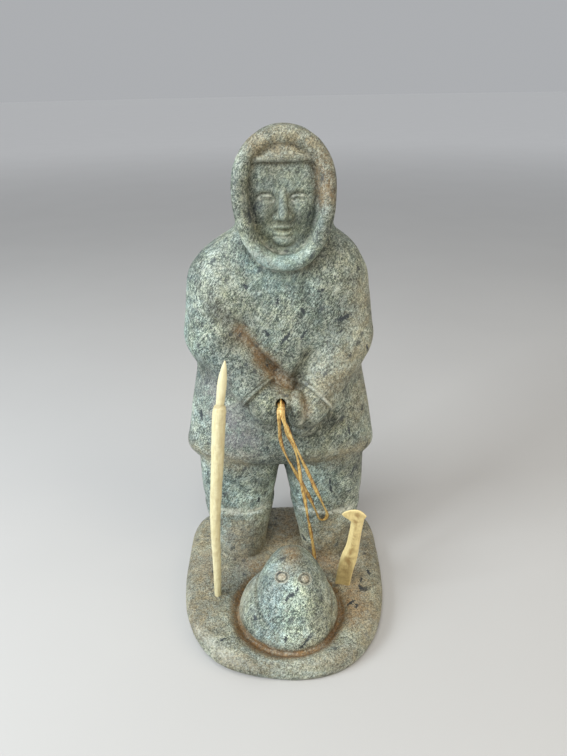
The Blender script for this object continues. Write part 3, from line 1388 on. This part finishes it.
@dataclass
class SnowKnife:
    """The snow knife: a flat blade that narrows to a bevelled grip and spreads into a crescent."""

    length: float = 48.1
    width: float = 7.8
    thickness: float = 2.8
    edge_rounding: float = 0.8
    bevel: float = 2.3
    socket_depth: float = 3 * MM
    foot: tuple[float, float] = (27.2 * MM, -6.4 * MM)
    lean_deg: float = 6.0
    turn_deg: float = -18.0
    voxel: float = 0.28 * MM
    worn: float = 0.05 * MM
    left: tuple[tuple[float, float], ...] = (
        (-0.47, 0), (-0.45, 0.29), (-0.38, 0.42), (-0.28, 0.5), (-0.23, 0.59), (-0.21, 0.71), (-0.225, 0.8),
        (-0.295, 0.836), (-0.46, 0.863), (-0.77, 0.894), (-0.737, 0.919), (-0.59, 0.948), (-0.385, 0.973),
        (-0.13, 0.994))
    right: tuple[tuple[float, float], ...] = (
        (0.4, 0), (0.42, 0.19), (0.46, 0.29), (0.51, 0.38), (0.525, 0.457), (0.5, 0.56), (0.475, 0.69),
        (0.475, 0.83), (0.487, 0.89), (0.526, 0.923), (0.6, 0.954), (0.474, 0.973), (0.295, 0.992), (0.09, 1))

    def __post_init__(self) -> None:
        """Draws the outline."""
        size = (self.width, self.length)
        left = smooth_curve(tuple(np.array(self.left) * size), 0.7)
        right = smooth_curve(tuple(np.array(self.right) * size), 0.7)
        self.rim = np.vstack([right, left[::-1]])
        self.left_edge = left

    def distance(self, points: Points) -> Distances:
        """Measures from places to the knife as it lies in its own upright plane, in metres."""
        x, y, z = points.T / MM
        slab = carve(outline(x, z, self.rim), -layer(y, -self.thickness / 2, self.thickness / 2),
                     self.edge_rounding)
        grip = np.clip((z - 13) / 9, 0, 1) * np.clip((44 - z) / 4, 0, 1)
        from_left = x - np.interp(z, self.left_edge[:, 1], self.left_edge[:, 0])
        facet = (0.62 * from_left + 0.78 * (y + self.thickness / 2)) - 0.62 * self.bevel * grip
        slab = carve(slab, facet, 0.5)
        crescent = np.clip((z - 40) / 3, 0, 1)
        thinned = 0.7 * (outline(x, z, self.rim) + y + self.thickness / 2 - 0.7) - 4 * (1 - crescent)
        return carve(slab, -thinned, 0.5) * MM

    def build(self, base_top: float) -> bpy.types.Object:
        """Makes the finished piece.

        Args:
            base_top: The height of the base's upper side.

        Returns:
            The piece.
        """
        mesh = bpy.data.meshes.new("antler_snow_knife")
        with edited(mesh) as shape:
            front = shape.faces.new([shape.verts.new((x * MM, -self.thickness / 2 * MM, z * MM))
                                     for x, z in self.rim])
            grown = bmesh.ops.extrude_face_region(shape, geom=[front])
            corners = [item for item in grown["geom"] if isinstance(item, bmesh.types.BMVert)]
            bmesh.ops.translate(shape, verts=corners, vec=(0, self.thickness * MM, 0))
            bmesh.ops.recalc_face_normals(shape, faces=shape.faces)
        mesh = modified(mesh, "REMESH", mode="VOXEL", voxel_size=self.voxel)
        settle(mesh, self.distance, 8, self.voxel)
        points = read_points(mesh)
        normals = read_normals(mesh)
        x, _, z = points.T / MM
        write_attribute(mesh, "core", np.exp(-(((x - 0.6) / 1.5) ** 2)) * np.clip((z - 4) / 14, 0, 1))
        write_attribute(mesh, "ridge", np.clip(3.2 * (1 - np.abs(normals[:, 1])), 0, 1))
        swell = np.array([noise.noise(Vector(point) * 300) for point in points])
        write_points(mesh, points + normals * ((swell - 0.5) * self.worn)[:, None])
        mesh.transform(Matrix.Translation((*self.foot, base_top - self.socket_depth))
                       @ Matrix.Rotation(math.radians(self.turn_deg), 4, "Z")
                       @ Matrix.Rotation(math.radians(self.lean_deg), 4, "Y"))
        return add_piece("antler_snow_knife", mesh, YELLOW.dress(), "snow_knife")


@dataclass(frozen=True)
class Fibre:
    """One fibre of a strand: how far out of the strand's middle it lies, and how thick it is."""

    out: float
    radius: float
    stray: float


@dataclass
class Sinew:
    """A length of sinew: flat fibres laid side by side along a route, in millimetres."""

    name: str
    node: str
    route: tuple[Place, ...]
    length: float
    lay: str
    diameter: float = 1.1 * MM
    twist_length: float = 38.0
    spacing: float = 0.8
    fibres: tuple[Fibre, ...] = (
        Fibre(-0.42, 0.36, 0.1), Fibre(0.0, 0.4, 0.06), Fibre(0.42, 0.34, 0.1), Fibre(-0.72, 0.11, 0.22),
        Fibre(0.7, 0.1, 0.25), Fibre(0.2, 0.12, 0.5))

    def build(self, finish: bpy.types.Material) -> bpy.types.Object:
        """Args:
            finish: The sinew's material.

        Returns:
            The piece.
        """
        places = smooth_curve(self.route, self.spacing)
        ahead = np.gradient(places, axis=0)
        ahead /= np.linalg.norm(ahead, axis=1)[:, None]
        side = np.cross(ahead, (0.2, 1.0, 0.1))
        side /= np.linalg.norm(side, axis=1)[:, None]
        up = np.cross(side, ahead)
        curve = bpy.data.curves.new(self.name, "CURVE")
        curve.dimensions = "3D"
        curve.bevel_depth = MM
        curve.bevel_resolution = 2
        curve.render_resolution_u = 0
        curve.use_fill_caps = True
        for number, fibre in enumerate(self.fibres):
            spline = curve.splines.new("POLY")
            spline.points.add(len(places) - 1)
            for index, (point, place) in enumerate(zip(spline.points, places)):
                run = index * self.spacing
                turn = 0.9 * math.sin(math.tau * run / self.twist_length)
                wander = fibre.stray * noise.noise(Vector((number * 9.7, run * 0.16, 0.3)))
                lift = fibre.stray * noise.noise(Vector((number * 5.3, run * 0.13, 4.1)))
                across = (fibre.out + wander) * math.cos(turn)
                above = (fibre.out + wander) * math.sin(turn) + lift
                point.co = (*((place + across * side[index] + above * up[index]) * MM), 1)
                swell = noise.noise(Vector((number * 3.1, run * 0.35, 7.7)))
                point.radius = fibre.radius * (1 + 0.25 * swell)
        mesh = baked(put_in_scene(self.name, curve))
        with edited(mesh) as shape:
            bmesh.ops.remove_doubles(shape, verts=shape.verts, dist=1e-6)
        points = read_points(mesh) / MM
        nearest = np.argmin(np.linalg.norm(points[:, None] - places[None], axis=2), axis=1)
        write_attribute(mesh, "edge", ((points - places[nearest]) * side[nearest]).sum(axis=1) / 0.8)
        piece = add_piece(self.name, mesh, finish, self.node)
        return piece


LINE = Sinew(
    name="sinew_line_to_the_base", node="sinew_line", length=0.1, lay="taut",
    route=((1.3, 1.2, 100.3), (1.3, -0.4, 100.0), (1.3, -2.1, 99.4), (1.3, -3.2, 97.8), (1.6, -3.5, 95.2),
           (2.7, -3.1, 89.0), (4.5, -2.0, 83.5), (6.2, -0.9, 78.0), (7.5, 0.4, 70.1), (8.3, 1.5, 61.3),
           (9.2, 2.6, 55.0), (10.2, 3.4, 49.0), (11.0, 4.2, 42.5), (11.8, 5.0, 36.2), (12.8, 5.8, 29.5),
           (13.7, 6.5, 22.7), (14.5, 7.1, 15.5), (15.1, 7.5, 8.5), (15.2, 7.6, 6.2)))
LOOP = Sinew(
    name="sinew_loop_to_the_boot", node="sinew_loop", length=0.155, lay="hanging",
    route=((0.5, 1.2, 101.5), (0.5, -0.6, 101.3), (0.5, -2.6, 100.8), (0.6, -4.2, 99.6), (0.9, -5.2, 97.8),
           (1.6, -5.4, 95.4), (2.6, -5.2, 92.8), (4.3, -4.3, 87.3), (6.7, -3.2, 80.6), (9.0, -1.6, 73.6),
           (11.3, 0.2, 66.5), (13.6, 1.9, 59.2), (15.7, 3.4, 52.8), (17.8, 5.0, 46.6), (19.7, 6.6, 40.8),
           (20.6, 7.6, 37.0), (20.3, 8.4, 34.0), (18.6, 8.7, 32.6), (16.9, 8.5, 33.8), (15.9, 8.0, 37.2),
           (14.2, 7.2, 42.5), (12.1, 6.2, 48.8), (9.9, 5.1, 54.8), (7.7, 4.2, 60.4), (5.2, 3.0, 66.6),
           (2.6, 1.4, 73.4), (0.6, -0.6, 80.6), (-0.2, -2.3, 87.0), (-0.3, -3.4, 92.6), (-0.4, -3.9, 96.0),
           (-0.4, -3.6, 98.0), (-0.4, -2.5, 99.4), (-0.4, -0.8, 99.9), (-0.4, 1.2, 100.1)))


@dataclass(frozen=True)
class Lamp:
    """A soft, square lamp that looks at the carving."""

    name: str
    place: Place
    size: float
    watts: float
    colour: Colour


@dataclass
class Studio:
    """The floor, the light and the camera."""

    floor_radius: float = 14.0
    sky: Colour = (0.80, 0.82, 0.85)
    sky_strength: float = 0.52
    eye: Place = (0.0017, -0.1967, 0.2135)
    look_down_deg: float = 27.27
    roll_deg: float = 1.118
    lens: float = 27.05
    sensor: float = 36.0
    lit_height: float = 0.09
    lamps: tuple[Lamp, ...] = (
        Lamp("window on the left", (-0.62, -0.30, 0.42), 0.35, 6.5, (0.90, 0.96, 1.0)),
        Lamp("room on the right", (0.6, -0.4, 0.35), 0.5, 2.4, (1.0, 0.82, 0.58)),
        Lamp("above the front", (-0.1, -0.36, 0.85), 0.4, 3.6, (1.0, 0.985, 0.95)),
    )

    def lay_floor(self) -> None:
        """Lays the pale floor under the carving."""
        mesh = bpy.data.meshes.new("floor")
        with edited(mesh) as shape:
            bmesh.ops.create_circle(shape, cap_ends=True, segments=64, radius=self.floor_radius)
        mesh.materials.append(FloorPaint().dress())
        floor = put_in_scene("floor", mesh)

    def hang_lamps(self) -> None:
        """Hangs the lamps and lights the room."""
        for lamp in self.lamps:
            light = bpy.data.lights.new(lamp.name, "AREA")
            light.energy = lamp.watts
            light.size = lamp.size
            light.color = lamp.colour
            hung = put_in_scene(lamp.name, light)
            hung.location = lamp.place
            towards = Vector((0, 0, self.lit_height)) - Vector(lamp.place)
            hung.rotation_euler = towards.to_track_quat("-Z", "Y").to_euler()
        world = bpy.data.worlds.new("room")
        world.use_nodes = True
        backdrop = world.node_tree.nodes["Background"]
        backdrop.inputs["Color"].default_value = (*self.sky, 1)
        backdrop.inputs["Strength"].default_value = self.sky_strength
        bpy.context.scene.world = world

    def place_camera(self) -> None:
        """Stands the camera where the photograph was taken from."""
        camera = bpy.data.cameras.new("camera")
        camera.lens = self.lens
        camera.sensor_width = self.sensor
        camera.clip_start = 0.01
        stood = put_in_scene("camera", camera)
        stood.location = self.eye
        stood.rotation_euler = (Matrix.Rotation(math.radians(90 - self.look_down_deg), 3, "X")
                                @ Matrix.Rotation(math.radians(-self.roll_deg), 3, "Z")).to_euler()
        bpy.context.scene.camera = stood

    def build(self) -> None:
        """Sets up the studio."""
        self.lay_floor()
        self.hang_lamps()
        self.place_camera()
        bpy.context.scene.view_settings.view_transform = "Standard"


def main() -> None:
    """Builds the pieces in order and reports each."""
    logging.basicConfig(level=logging.INFO, format="%(message)s")
    Studio().build()
    sinew = SinewFinish().dress()
    stone = StoneCarving()
    pieces = [LINE.build(sinew), LOOP.build(sinew), Harpoon().build(stone.base.thickness),
              SnowKnife().build(stone.base.thickness), stone.build()]
    for piece in pieces:
        piece.data.calc_loop_triangles()
        log.info("%s: %d triangles", piece.name, len(piece.data.loop_triangles))


if __name__ == "__main__":
    main()
